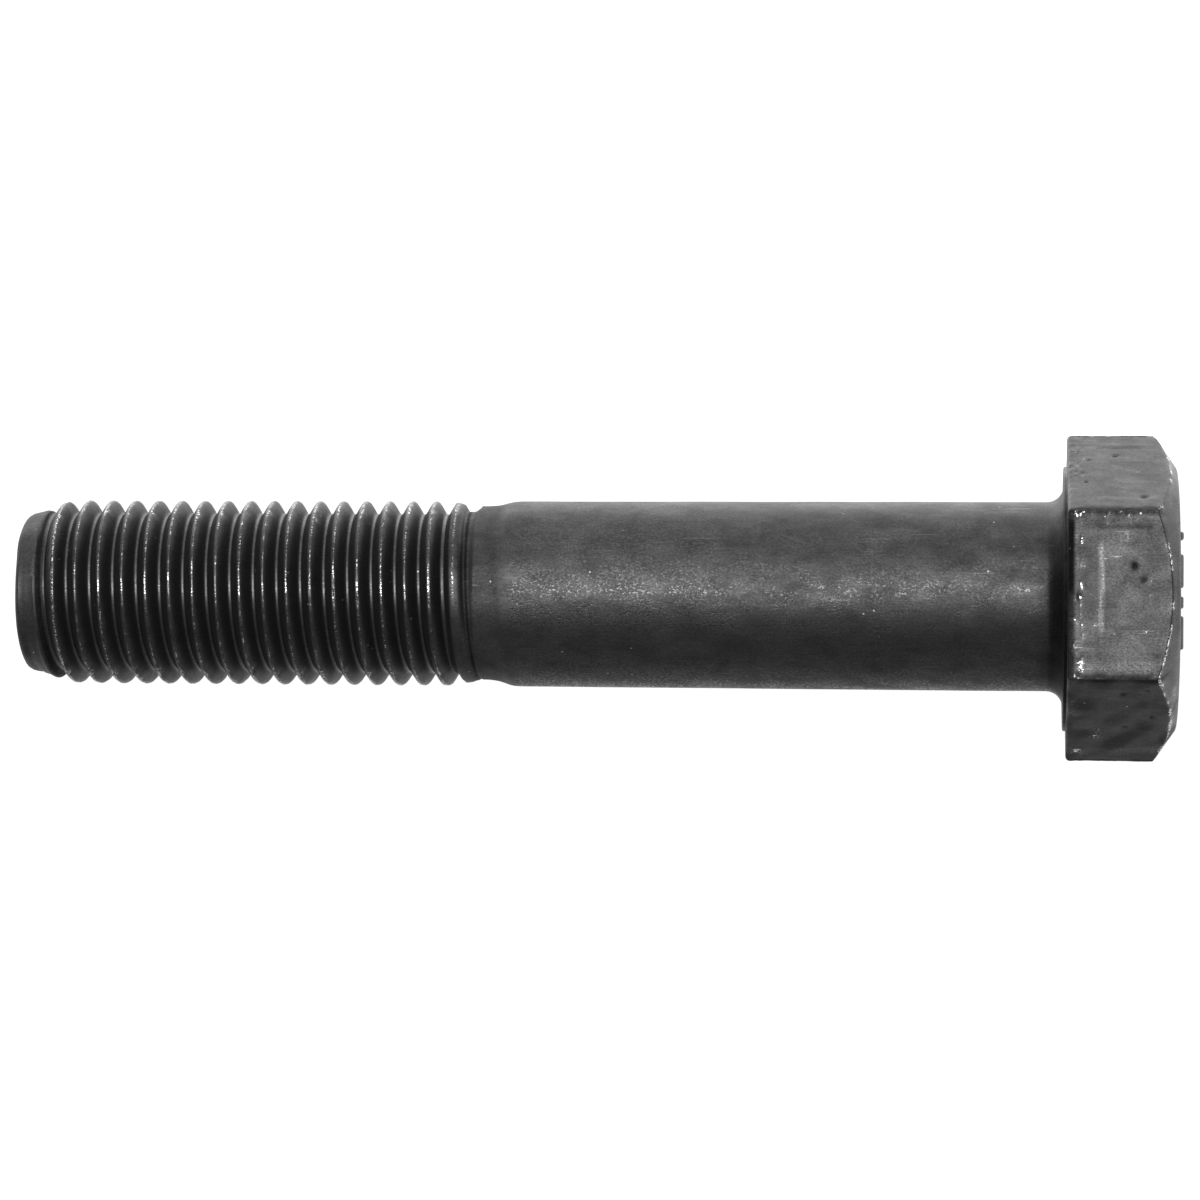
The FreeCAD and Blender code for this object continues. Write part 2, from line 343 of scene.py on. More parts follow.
def add_head(shell, last_ring):
    """Washer edge, hexagon and chamfer, as rings that follow the hexagon. Gives the last ring."""
    angles = head_angles()
    reach = hexagon_reach(angles)
    base = LENGTH + WASHER_HEIGHT
    top = LENGTH + HEAD
    cone_foot = top - (reach - TOP_RADIUS) / CHAMFER_SLOPE
    rings = []

    def ring(u, radius):
        rings.append(shell.add(u, radius, angles))

    for above, radius in ((0.0, 13.72), (0.04, 13.81), (0.12, WASHER_RADIUS),
                          (0.25, WASHER_RADIUS + 0.01), (0.34, 13.91)):
        ring(LENGTH + above, radius)
    ease = 0.46  # rounding of the bearing edge
    for share in (0.35, 0.7, 1.0):
        ring(base, UNDERSIDE_FROM + (reach - ease - UNDERSIDE_FROM) * share)
    for bend in np.radians([25, 50, 72, 90]):
        ring(base + ease * (1 - math.cos(bend)), reach - ease * (1 - math.sin(bend)))
    side_from, side_to = base + ease, cone_foot - 0.16
    for share in np.concatenate([np.linspace(0, 0.17, 13)[1:], np.linspace(0.17, 1, 30)[1:]]):
        ring(side_from + (side_to - side_from) * share, reach)
    cone_inset = 0.12
    for rise, inset in ((-0.03, 0.01), (0.02, 0.05), (0.08, cone_inset)):
        ring(cone_foot + rise, reach - inset)
    cone_from = reach - cone_inset
    for share in (0.25, 0.5, 0.75, 0.95):
        radius = cone_from + (TOP_RADIUS - cone_from) * share
        ring(top - (radius - TOP_RADIUS) / CHAMFER_SLOPE, radius)
    ring(top - 0.02, TOP_RADIUS - 0.06)
    ring(top, TOP_RADIUS - 0.25)

    body_keys = list(BODY_ANGLES) + [2 * math.pi]
    head_keys = list(angles) + [angles[0] + 2 * math.pi]
    shell.zip_up(rings[0] + rings[0][:1], last_ring + last_ring[:1], head_keys, body_keys)
    for lower, upper in zip(rings, rings[1:]):
        shell.bridge(lower, upper)
    return rings[-1]


BARS = ((5.8, 6.7), (0.9, 4.4), (-1.2, 0.1), (-5.4, -1.9))  # ends of each bar along Y
BAR_NEAR, BAR_FAR = 6.4, 9.2  # a row's edges, from the axis
BAR_CORNER = 0.28
BAR_STEPS = (  # height, and how far the outline has drawn in along Y and Z
    (0.0, 0.0, 0.0), (0.12, 0.02, 0.1), (0.24, 0.04, 0.27), (0.36, 0.07, 0.45),
    (MARK_HEIGHT, 0.16, 0.66),
)


def bar_outline(left, right, near, far):
    """A rectangle with rounded corners, as points (y, z), anticlockwise."""
    points = []
    for y, z, start in ((right, far, 0), (left, far, 90), (left, near, 180), (right, near, 270)):
        out_y = math.copysign(BAR_CORNER, y - (left + right) / 2)
        out_z = math.copysign(BAR_CORNER, z - (near + far) / 2)
        for step in (0, 30, 60, 90):
            bend = math.radians(start + step)
            points.append((y - out_y + BAR_CORNER * math.cos(bend),
                           z - out_z + BAR_CORNER * math.sin(bend)))
    return points


def add_bar(shell, left, right, near, far):
    """One raised bar with sloping sides. Gives its outline and the vertices of its foot."""
    rings, foot = [], None
    for height, in_y, in_z in BAR_STEPS:
        outline = bar_outline(left + in_y, right - in_y, near + in_z, far - in_z)
        foot = foot or outline
        radii = [math.hypot(y, z) for y, z in outline]
        angles = [math.atan2(y, z) for y, z in outline]
        rings.append(shell.add(LENGTH + HEAD + height, radii, angles))
    for lower, upper in zip(rings, rings[1:]):
        shell.bridge(lower, upper)
    shell.faces.append(tuple(rings[-1]))
    return foot, rings[0]


def add_top(shell, last_ring):
    """The top face around two rows of plain raised bars."""
    places = [shell.places[i] for i in last_ring]
    flat = [(radius * math.sin(angle), radius * math.cos(angle)) for _, radius, angle in places]
    numbers = list(last_ring)
    edges = [(i, (i + 1) % len(flat)) for i in range(len(flat))]
    bars = [(left, right, near, far) for near, far in ((BAR_NEAR, BAR_FAR), (-BAR_FAR, -BAR_NEAR))
            for left, right in BARS]
    for bar in bars:
        foot, foot_numbers = add_bar(shell, *bar)
        first, count = len(flat), len(foot)
        flat += foot
        numbers += foot_numbers
        edges += [(first + i, first + (i + 1) % count) for i in range(count)]
    spots = [Vector(place) for place in flat]
    points, _, triangles, origins, _, _ = delaunay_2d_cdt(spots, edges, [], 0, 1e-7)
    for triangle in triangles:
        middle = sum((points[i] for i in triangle), Vector((0, 0))) / 3
        if not any(left < middle.x < right and near < middle.y < far
                   for left, right, near, far in bars):
            shell.faces.append(tuple(numbers[origins[i][0]] for i in triangle))


def build_shell():
    """The whole bolt's surface, closed."""
    shell = Shell()
    ring = add_tip(shell)
    ring = add_columns(shell, ring)
    ring = add_under_head(shell, ring)
    ring = add_head(shell, ring)
    add_top(shell, ring)
    return shell


# ---------------------------------------------------------------- relief and wear

HEXAGON_FROM = 13.95  # radius that parts the washer face from the hexagon
CREST_RADIUS = 9.7  # for lengths along a crest
CREST_WEAR_AND_SHEEN = 0.68  # the most on the thread
HEAD_WEAR_AND_SHEEN = 0.8  # the most on the head
CORNER = 8.35  # from the middle of a flat to just beside its corner

SHOWN = 0  # the flat on top, which the photograph shows. The others have random marks.
CLUSTERS = (  # of nicks: middle across the flat, half length, how many
    (8.1, 0.5, 7), (4.6, 2.4, 14), (0.3, 1.1, 12), (-2.8, 0.4, 9), (-6.2, 1.5, 16), (-8.3, 0.4, 6),
)
PITS = ((2.76, 7.1, 0.33), (1.54, 8.0, 0.28), (3.1, 7.0, 0.2))  # across, above, size
CHIPS = (  # across, above
    (8.2, 1.1), (8.0, 1.5), (8.35, 1.9), (7.8, 2.3), (8.1, 2.8), (7.9, 4.1), (8.2, 4.5), (8.3, 5.6),
    (7.9, 6.4), (8.2, 7.6), (-8.2, 1.2), (-8.3, 1.7), (-8.1, 9.0),
)
SPECKS = (  # across, above
    (6.1, 6.2), (5.6, 6.3), (1.34, 8.7), (0.02, 8.75), (7.3, 4.3), (7.6, 7.2), (-3.1, 3.1),
)


class Surface:
    """Each vertex: where it is, how far it is pushed out, how worn, polished and sooty it is. The
    brightening is partly painted highlight and sheen, the darkening partly painted shade.
    """

    def __init__(self, u, radius, angle):
        self.u, self.radius, self.angle = u, radius, angle
        self.points = np.stack([u, radius * np.sin(angle), radius * np.cos(angle)], axis=1)
        self.push, self.wear, self.polish, self.soot_and_shade = (np.zeros(len(u)) for _ in range(4))

    def ripple(self, seed, wavelength):
        return ripple(seed, self.points, wavelength)


def crest_marks():
    """Nicks and burrs: anywhere on the crests, and closer together along two lines.

    Gives place along the axis, angle, depth, length, and distance off the crest of each.
    """
    random = np.random.default_rng(11)
    marks = [(random.uniform(4.5, 46.5), random.uniform(-math.pi, math.pi),
              random.uniform(0.06, 0.16), random.uniform(0.2, 0.6), random.uniform(-0.3, 0.3))
             for _ in range(70)]
    for rank in range(17):
        place = CREST_AT + (rank + 0.25) * PITCH
        for middle, count in ((-62, 5), (57, 4)):
            for _ in range(count):
                at = math.radians(middle + random.uniform(-6, 6))
                marks.append((place - PITCH * at / (2 * math.pi), at, random.uniform(-0.07, 0.14),
                              random.uniform(0.25, 0.45), random.uniform(0.1, 0.45)))
    return marks


def relieve_thread(surface):
    """Seams, nicks and burrs on the crests, and the gloss the dies left in the roots. The crest
    lines are brightened, partly worn and partly painted highlight; the first crest and the root
    lines get painted highlight, the crests towards the sides painted sheen, and the flanks, the
    first groove and the last roots painted shade.
    """
    u, angle = surface.u, surface.angle
    turn = crest_turn(u, angle)
    from_crest, from_root = past_nearest(turn), past_nearest(turn - 0.5)
    threaded = window(u, 3.4, 47.0, 0.6)
    crest = bell(from_crest, 0.3) * threaded
    crest_line = bell(from_crest, 0.16) * threaded
    root_line = bell(from_root, 0.18)
    root = root_line * window(u, 2.6, 45.8, 0.4)
    seam = smooth_step(surface.ripple(3, 9.0), 0.1, 0.7) * threaded
    surface.push -= 0.05 * bell(from_crest + 0.04, 0.07) * seam
    surface.push += 0.018 * surface.ripple(4, 1.0) * crest
    # Crest lines brightened: worn crests and painted highlight. Next line: more painted highlight
    # on the first crest, and painted highlight on the root lines.
    surface.wear += crest_line * np.clip(0.56 + 0.14 * surface.ripple(5, 1.6), 0.15, CREST_WEAR_AND_SHEEN)
    surface.wear += 0.3 * crest_line * (1 - smooth_step(u, 5.2, 6.2)) + 0.4 * root
    surface.polish += 0.35 * root + 0.5 * crest * (1 - 0.7 * smooth_step(u, 45.8, 46.6))
    # Painted sheen: the crests towards the sides, at angles near +Y and -Y, are brightened.
    sides = smooth_step(np.abs(np.sin(angle)), 0.8, 0.97) * threaded
    rubbed_and_sheen = bell(from_crest, 0.55) * np.clip(0.75 + 0.35 * surface.ripple(6, 2.2), 0, 1)
    surface.wear += 0.55 * rubbed_and_sheen * sides
    # Painted shade: the flanks away from the crest lines, roots and sides are darkened, and so
    # (next lines) are the first groove and the last roots.
    surface.soot_and_shade += 0.2 * threaded * (1 - np.clip(crest_line + root + sides, 0, 1))
    surface.soot_and_shade += 0.75 * window(from_root, -0.78, -0.2, 0.06) * window(u, 2.35, 4.0, 0.1)
    surface.soot_and_shade += 0.8 * root_line * window(u, 46.3, 48.6, 0.3)
    for place, at, depth, length, offset in crest_marks():
        rank = round(crest_turn(place, at))
        off_crest = u - (CREST_AT + (rank + 0.25 - wrap(angle) / (2 * math.pi)) * PITCH)
        patch = spot(wrap(angle - at) * CREST_RADIUS, off_crest - offset, length, 0.15)
        patch *= np.abs(off_crest) < 0.9
        surface.push -= depth * patch
        surface.wear += 0.3 * patch * (depth > 0)
    surface.wear = np.minimum(surface.wear, CREST_WEAR_AND_SHEEN)


class Head:
    """The vertices on the hexagon: which flat, how far across it, how far above the washer face.

    The flats are counted from the top one towards +Y.
    """

    def __init__(self, surface):
        self.surface = surface
        self.above = surface.u - LENGTH
        self.side = window(self.above, WASHER_HEIGHT + 0.02, HEAD - 0.1, 0.02)
        self.side *= surface.radius > HEXAGON_FROM
        self.flat = np.round(surface.angle / (math.pi / 3)).astype(int) % 6
        self.across = surface.radius * np.sin(surface.angle - self.flat * math.pi / 3)

    def on(self, number):
        """1 on one flat."""
        return self.side * (self.flat == number)

    def spot(self, at, height, length, width):
        """A soft patch, wherever the flat is."""
        return spot(self.across - at, self.above - height, length, width)


def nick_bearing_edge(head, number, random):
    """Clusters of nicks and burrs near the bearing edge."""
    here, shown = head.on(number), number == SHOWN
    clusters = CLUSTERS if shown else [
        (random.uniform(-8, 8), random.uniform(0.4, 1.8), 8) for _ in range(3)]
    for middle, reach, count in clusters:
        for _ in range(count):
            at = middle + random.uniform(-reach, reach)
            height = random.uniform(0.75, 2.0)
            patch = head.spot(at, height, random.uniform(0.14, 0.3), random.uniform(0.1, 0.2))
            patch *= here
            head.surface.push -= random.choice([0.1, 0.07, -0.05]) * patch
            head.surface.wear += (0.42 if shown else 0.3) * patch


def press_panel(head, number, random):
    """A shallow panel with a ridge along its foot, a raised line on one side, and a groove. The
    ridge and the raised line are brightened as painted highlight, the ridge partly worn too, and
    the groove is darkened as painted shade.
    """
    surface, across, above = head.surface, head.across, head.above
    here, shown = head.on(number), number == SHOWN
    left, right = (-6.4, 7.0) if shown else (random.uniform(-6.5, -5), random.uniform(5, 7))
    low, high = (3.5, 9.8) if shown else (random.uniform(3, 4), random.uniform(9, 9.8))
    surface.push -= 0.035 * window(across, left, right, 0.2) * window(above, low, high, 0.2) * here
    ridge = bell(above - low - 0.25 - 0.08 * np.sin(across), 0.25)
    ridge *= window(across, left + 3.4, right - 2.6, 1.5) * here
    surface.push += (0.11 if shown else 0.04) * ridge
    # Painted highlight along the ridge, partly worn.
    surface.wear += (0.46 if shown else 0.1) * ridge
    surface.polish += 0.45 * ridge * shown
    line = bell(across - left - 3.6 + 0.03 * above, 0.1) * window(above, low, high, 0.3) * here
    surface.push += 0.02 * line
    # Painted highlight along the raised line.
    surface.wear += 0.2 * line
    groove = bell(across - right + 0.06, 0.1) * window(above, low, high - 1.1, 0.3) * here
    groove *= 1.0 if shown else 0.35
    surface.push -= 0.06 * groove
    # Painted shade in the groove.
    surface.soot_and_shade += 0.6 * groove


def pit_and_chip(head, number, random):
    """Pits darkened as painted shade, chips along the corners, and small bright specks."""
    surface, here, shown = head.surface, head.on(number), number == SHOWN
    pits = PITS if shown else [
        (random.uniform(-7, 7), random.uniform(2, 9), random.uniform(0.15, 0.4)) for _ in range(4)]
    for at, height, size in pits:
        patch = head.spot(at, height, size, size) * here
        surface.push -= 0.13 * patch
        # Painted shade in the pits.
        surface.soot_and_shade += 0.9 * patch
    for at, height in CHIPS if shown else ():
        patch = head.spot(at, height, 0.26, 0.22) * here
        surface.push -= 0.12 * patch
        surface.wear += (0.42 if height < 2.5 else 0.75) * patch
    specks = SPECKS if shown else [
        (random.uniform(-7, 7), random.uniform(2, 9)) for _ in range(4)]
    for at, height in specks:
        surface.wear += 0.75 * head.spot(at, height, 0.18, 0.16) * here


def fold_corners(head, number):
    """Laps in the steel beside both corners, darkened as painted shade, with a painted highlight
    beside one corner that is partly worn too.
    """
    surface, here = head.surface, head.on(number)
    fold = bell(np.abs(head.across) - CORNER, 0.22) * window(head.above, 1.6, 9.6, 0.8) * here
    surface.push -= 0.1 * fold * (0.55 + 0.45 * surface.ripple(31 + number, 1.3))
    # Painted shade in the laps.
    surface.soot_and_shade += 0.4 * fold
    # Painted highlight beside one corner, partly worn.
    lit = smooth_step(surface.ripple(61 + number, 1.1), 0.1, 0.9)
    lit *= window(head.above, 0.8, 6.5, 1.0) * here
    surface.wear += 0.5 * lit * bell(head.across - 8.05, 0.22)


def stain(head, number):
    """Worn and sooty blotches, faint on the top flat and the next."""
    surface, here = head.surface, head.on(number)
    if number > 1:
        surface.wear += 0.45 * here * smooth_step(surface.ripple(81 + number, 3.4), 0, 1)
    mottle = {0: 0.06, 1: 0.03}.get(number, 0.5)
    surface.soot_and_shade += mottle * here * smooth_step(surface.ripple(71 + number, 4.2), -0.5, 0.9)


def relieve_flats(head):
    """The forged flats, one by one."""
    random = np.random.default_rng(23)
    for number in range(6):
        nick_bearing_edge(head, number, random)
        press_panel(head, number, random)
        pit_and_chip(head, number, random)
        fold_corners(head, number)
        stain(head, number)


def relieve_head_edges(head):
    """The edges that run round the head, and the forged unevenness of its sides. On the shown flat
    the rolled edge gets a painted highlight and the bearing edge painted shade.
    """
    surface, across, above = head.surface, head.across, head.above
    shown = head.flat == SHOWN
    nicks = bell(above - 1.75 - 0.16 * surface.ripple(91, 2.6), 0.13) * head.on(SHOWN)
    nicks *= window(across, -7.7, 7.8, 0.3) * smooth_step(surface.ripple(92, 0.9), -0.25, 0.5)
    surface.push -= 0.07 * nicks
    surface.wear += 0.55 * nicks
    chamfer_foot = HEAD - (hexagon_reach(surface.angle) - TOP_RADIUS) / CHAMFER_SLOPE
    chamfer_edge = bell(above - chamfer_foot - 0.05, 0.22) * head.side
    surface.wear += 0.8 * chamfer_edge * smooth_step(surface.ripple(41, 1.5), -0.7, 0.4)

    side = head.side * (1 - smooth_step(above - chamfer_foot, -0.3, 0.0))
    # Painted highlight along the rolled edge of the shown flat, over a slight bulge.
    rolled = window(across, -7.9, -7.0, 0.35) * window(above, 1.7, 8.6, 0.8) * side * shown
    surface.wear += 0.36 * rolled
    surface.push += 0.05 * rolled
    bearing_edge = window(above, 0.3, 0.75, 0.45) * side
    scallops = np.sin(across * 5.2 + surface.ripple(43, 3.0)) * window(above, 0.4, 1.6, 0.5) * side
    surface.push += 0.02 * scallops * (head.flat == 1)
    surface.push += 0.02 * surface.ripple(44, 1.0) * bearing_edge
    surface.push += (0.012 * surface.ripple(45, 3.2) + 0.006 * surface.ripple(46, 1.2)) * side

    # Painted shade: on the shown flat the bearing edge is darkened evenly, whatever lies there, and
    # its brightening is taken out.
    shaded = 0.6 + 0.4 * window(across, 0.8, 7.0, 0.8)
    surface.soot_and_shade += (1.1 * shaded - surface.soot_and_shade) * bearing_edge * shown
    surface.wear = np.minimum(surface.wear, HEAD_WEAR_AND_SHEEN)
    surface.wear *= 1 - 0.9 * shaded * bearing_edge * shown * (np.abs(across) < 7.6)


def relieve_body(surface):
    """Dull neck, painted shade in the fillet below the head, and shallow dents in the shank."""
    u = surface.u
    neck = window(u, 48.6, 51.0, 1.0) * (surface.radius < 9.75)
    surface.soot_and_shade += 0.04 * neck
    surface.polish -= 0.4 * neck
    # Painted shade in the fillet, darkest on the +Z side and none on the -Z side.
    shade_under_head = window(u, LENGTH - 1.15, LENGTH + WASHER_HEIGHT, 0.9) * (surface.radius < HEXAGON_FROM)
    surface.soot_and_shade += 0.95 * shade_under_head * np.clip(1.6 * (np.cos(surface.angle + 0.25) - 0.35), 0, 1)
    shank = window(u, 52.5, LENGTH - 2, 0.6) * (surface.radius < 10)
    surface.push += 0.006 * ripple(51, surface.points * (0.3, 1, 1), 2.5) * shank


# ---------------------------------------------------------------- object

def link_object(name, data):
    """A new object in the scene."""
    item = bpy.data.objects.new(name, data)
    bpy.context.scene.collection.objects.link(item)
    return item


def place_vertices(surface):
    """The vertices in millimetres in the shared frame, kept inside the CAD solid's box."""
    u, angle = surface.u, surface.angle
    radius = surface.radius + surface.push
    flat = HALF_FLATS / np.cos(wrap(angle * 6) / 6)
    radius = np.where(u > LENGTH + WASHER_HEIGHT, np.minimum(radius, flat), radius)
    points = np.stack([u - LENGTH, radius * np.sin(angle), radius * np.cos(angle)], axis=1)
    y = points[:, 1]
    shift = HEAD_OFF_CENTRE * smooth_step(u, LENGTH - 0.1, LENGTH)
    y = y - shift * (1 - smooth_step(-y, 12.0, 17.1))  # the -Y corner has no room to move
    points[:, 1] = np.maximum(y, LOW.y)
    return points


def make_bolt():
    """The bolt's mesh object, with how worn, polished and sooty it is stored at each vertex; the
    brightening is partly painted highlight and the darkening partly painted shade.
    """
    shell = build_shell()
    surface = Surface(*np.array(shell.places).T)
    relieve_thread(surface)
    head = Head(surface)
    relieve_flats(head)
    relieve_head_edges(head)
    relieve_body(surface)
    mesh = bpy.data.meshes.new("bolt")
    mesh.from_pydata((place_vertices(surface) * MM).tolist(), [], shell.faces)
    mesh.validate()
    for name in ("wear", "polish", "soot_and_shade"):
        values = np.clip(getattr(surface, name), -1, 1).astype(np.float32)
        mesh.attributes.new(name, "FLOAT", "POINT").data.foreach_set("value", values)
    return link_object("bolt", mesh)


def finish_mesh(bolt):
    """Outward normals and smooth shading."""
    work = bmesh.new()
    work.from_mesh(bolt.data)
    bmesh.ops.recalc_face_normals(work, faces=work.faces)
    for face in work.faces:
        face.smooth = True
    work.to_mesh(bolt.data)
    work.free()


# ---------------------------------------------------------------- material

def grey(level):
    return (level, level, level, 1)


BLACK_OXIDE = grey(0.036)
# The scuffed and bare colours are also those of the painted highlights and sheen.
SCUFFED_OXIDE_AND_SHEEN = grey(0.15)
BARE_STEEL_AND_SHEEN = grey(0.4)
PALE_SHEET = grey(0.05)  # dark by itself: it glows instead
WHITE = grey(1.0)


class Graph:
    """Short ways to add and join shader nodes."""

    def __init__(self, name):
        self.material = bpy.data.materials.new(name)
        self.material.use_nodes = True
        self.nodes, self.links = self.material.node_tree.nodes, self.material.node_tree.links
        self.shader = self.nodes["Principled BSDF"]

    def put(self, value, socket):
        """Set a socket to a number or link it to another socket."""
        if isinstance(value, (int, float, tuple)):
            socket.default_value = value
        else:
            self.links.new(value, socket)

    def node(self, kind, **inputs):
        """A new node. Underscores in the names of the inputs stand for spaces."""
        node = self.nodes.new(kind)
        for name, value in inputs.items():
            self.put(value, node.inputs[name.replace("_", " ")])
        return node

    def math(self, operation, a, b, clamp=False):
        node = self.nodes.new("ShaderNodeMath")
        node.operation, node.use_clamp = operation, clamp
        self.put(a, node.inputs[0])
        self.put(b, node.inputs[1])
        return node.outputs[0]

    def times(self, first, *others):
        """All the values multiplied."""
        for other in others:
            first = self.math("MULTIPLY", first, other)
        return first

    def plus(self, first, *others):
        """All the values added."""
        for other in others:
            first = self.math("ADD", first, other)
        return first

    def remap(self, value, low, high, to_low=0.0, to_high=1.0, smooth=False):
        """One range of values made into another. The ends hold outside it."""
        node = self.node("ShaderNodeMapRange", Value=value, From_Min=low, From_Max=high,
                         To_Min=to_low, To_Max=to_high)
        node.interpolation_type = "SMOOTHSTEP" if smooth else "LINEAR"
        return node.outputs["Result"]

    def stored(self, name):
        """A value stored at the mesh's vertices."""
        node = self.nodes.new("ShaderNodeAttribute")
        node.attribute_name = name
        return node.outputs["Fac"]

    def position(self):
        """Along and across the bolt: X and Y."""
        place = self.nodes.new("ShaderNodeTexCoord")
        split = self.node("ShaderNodeSeparateXYZ", Vector=place.outputs["Object"])
        return split.outputs["X"], split.outputs["Y"]

    def per_mm(self, x, y, z):
        """Object coordinates, as cycles per millimetre along each axis."""
        place = self.nodes.new("ShaderNodeTexCoord")
        scale = self.node("ShaderNodeMapping", Vector=place.outputs["Object"],
                          Scale=(x / MM, y / MM, z / MM))
        return scale.outputs["Vector"]

    def noise(self, vector, detail=2.0, roughness=0.5, distortion=0.0):
        node = self.node("ShaderNodeTexNoise", Vector=vector, Scale=1.0, Detail=detail,
                         Roughness=roughness, Distortion=distortion)
        return node.outputs["Fac"]

    def cells(self, vector):
        """Distance to the nearest of scattered points."""
        return self.node("ShaderNodeTexVoronoi", Vector=vector, Scale=1.0).outputs["Distance"]

    def mix(self, factor, a, b):
        """Two colours mixed."""
        node = self.nodes.new("ShaderNodeMix")
        node.data_type = "RGBA"
        for index, item in ((0, factor), (6, a), (7, b)):
            self.put(item, node.inputs[index])
        return node.outputs[2]


def blackened_steel():
    """Black oxide on forged and rolled steel: blotchy, streaked along, scuffed and specked. The
    values stored at the vertices bring in painted highlight and painted shade, and the shank is
    darker towards its +Y edge as painted shade.
    """
    graph = Graph("blackened_steel")
    wear, polish, soot_and_shade = graph.stored("wear"), graph.stored("polish"), graph.stored("soot_and_shade")
    x, y = graph.position()
    on_head = graph.remap(x, 0.1 * MM, 0.3 * MM)
    on_shank = graph.math("SUBTRACT", graph.remap(x, -57.6 * MM, -56.6 * MM), on_head)

    # Patterns
    blotch = graph.noise(graph.per_mm(0.3, 0.45, 0.45), 4.0, 0.55, 0.4)
    cloud = graph.noise(graph.per_mm(0.09, 0.3, 0.3), 3.0)
    grain = graph.noise(graph.per_mm(4.0, 5.5, 5.5), 3.0, 0.6)
    sparkle = graph.noise(graph.per_mm(3.4, 4.4, 4.4), 3.0, 0.62)
    flecks = graph.noise(graph.per_mm(4.5, 5.5, 5.5), 3.0, 0.6)
    rings = graph.noise(graph.per_mm(4.0, 0.12, 0.12), 2.0)
    streak = graph.noise(graph.per_mm(0.35, 6.0, 6.0), 3.0, 0.55, 0.2)
    streak = graph.math("SUBTRACT", streak, 0.5)
    streak = graph.plus(0.5, graph.times(streak, graph.remap(on_head, 0.0, 1.0, 1.0, 0.08)))

    # Scuffed patches on the shank, with specks that catch the light
    near_neck = graph.remap(x, -34 * MM, -40 * MM, 0.0, 0.12)
    near_edge = graph.remap(y, -7.8 * MM, -9.3 * MM, 0.0, 0.08)
    scuffed = graph.noise(graph.per_mm(0.28, 0.5, 0.5), 4.0, 0.6, 0.8)
    scuffed = graph.times(graph.remap(graph.plus(scuffed, near_neck, near_edge), 0.44, 0.6),
                          graph.remap(on_shank, 0.0, 1.0),
                          graph.remap(soot_and_shade, 0.0, 0.4, 1.0, 0.0),
                          graph.remap(y, 5.0 * MM, 8.2 * MM, 1.0, 0.2))
    speck = graph.times(graph.remap(sparkle, 0.5, 0.6), scuffed)
    scratch = graph.noise(graph.per_mm(0.16, 6.0, 6.0), 1.0, 0.4, 0.3)
    scratch = graph.times(graph.remap(scratch, 0.68, 0.74), graph.remap(cloud, 0.5, 0.6))
    rare = graph.remap(graph.cells(graph.per_mm(0.5, 0.5, 0.5)), 0.06, 0.03)
    rare = graph.times(rare, graph.remap(cloud, 0.5, 0.54))
    rubbed_and_sheen = graph.times(wear, graph.remap(flecks, 0.42, 0.58, 0.15, 1.0))

    # Colour
    # Painted shade: the shank's colour is darker towards its +Y edge, and darker where the
    # vertices' painted shade lies (last factor).
    upper = graph.times(graph.remap(y, 6.5 * MM, 8.0 * MM), on_shank)
    tone = graph.times(graph.remap(blotch, 0.3, 0.7, 0.74, 1.22),
                       graph.remap(streak, 0.3, 0.7, 0.9, 1.1),
                       graph.remap(grain, 0.3, 0.7, 0.7, 1.3),
                       graph.remap(on_head, 0.0, 1.0, 1.0, 1.12),
                       graph.remap(upper, 0.0, 1.0, 1.0, 0.82),
                       graph.remap(soot_and_shade, 0.0, 1.0, 1.0, 0.2))
    # Brightening, partly painted highlight and sheen from the vertices' values.
    bright = graph.plus(graph.times(speck, 0.05), graph.times(rubbed_and_sheen, 0.12),
                        graph.times(scratch, 0.1))
    bright = graph.math("ADD", bright, graph.times(rare, 0.9), clamp=True)
    dark = graph.mix(graph.times(tone, 0.5), grey(0.0), BLACK_OXIDE)
    worn = graph.mix(bright, dark, SCUFFED_OXIDE_AND_SHEEN)
    bare = graph.remap(rubbed_and_sheen, 0.42, 0.85)
    graph.put(graph.mix(bare, worn, BARE_STEEL_AND_SHEEN), graph.shader.inputs["Base Color"])

    # Roughness
    glossy = graph.plus(graph.times(speck, 0.95), rubbed_and_sheen)
    glossy = graph.math("ADD", glossy, scratch, clamp=True)
    rough = graph.plus(graph.remap(blotch, 0.3, 0.7, 0.54, 0.46),
                       graph.remap(grain, 0.3, 0.7, 0.03, -0.03),
                       graph.times(soot_and_shade, 0.35))
    rough = graph.math("SUBTRACT", rough, graph.times(polish, 0.3))
    rough = graph.math("SUBTRACT", rough, graph.times(glossy, 0.3))
    graph.put(graph.math("MAXIMUM", rough, 0.14), graph.shader.inputs["Roughness"])

    # Fine relief
    height = graph.plus(graph.times(grain, 0.45), graph.times(streak, 0.35),
                        graph.times(rings, 0.2))
    height = graph.math("SUBTRACT", height, graph.times(speck, 1.2))
    bump = graph.node("ShaderNodeBump", Strength=0.3, Distance=0.03 * MM, Height=height)
    graph.put(bump.outputs["Normal"], graph.shader.inputs["Normal"])
    graph.put(1.0, graph.shader.inputs["Metallic"])
    graph.put(grey(0.85), graph.shader.inputs["Specular Tint"])
    return graph.material


def pale_floor():
    """A pale sheet that glows: more on the +Y side near the bolt, and more beyond the head."""
    graph = Graph("pale_floor")
    x, y = graph.position()
    far = graph.remap(y, 80 * MM, 160 * MM, 5.8, 3.6, smooth=True)
    beside = graph.remap(y, 10 * MM, 32 * MM, 0.98, far, smooth=True)
    beyond_head = graph.remap(x, 15 * MM, 45 * MM, beside, 4.0)
    for name, value in (("Base Color", PALE_SHEET), ("Roughness", 0.9),
                        ("Specular IOR Level", 0.0), ("Emission Color", WHITE),
                        ("Emission Strength", beyond_head)):
        graph.put(value, graph.shader.inputs[name])
    return graph.material


# ---------------------------------------------------------------- stage

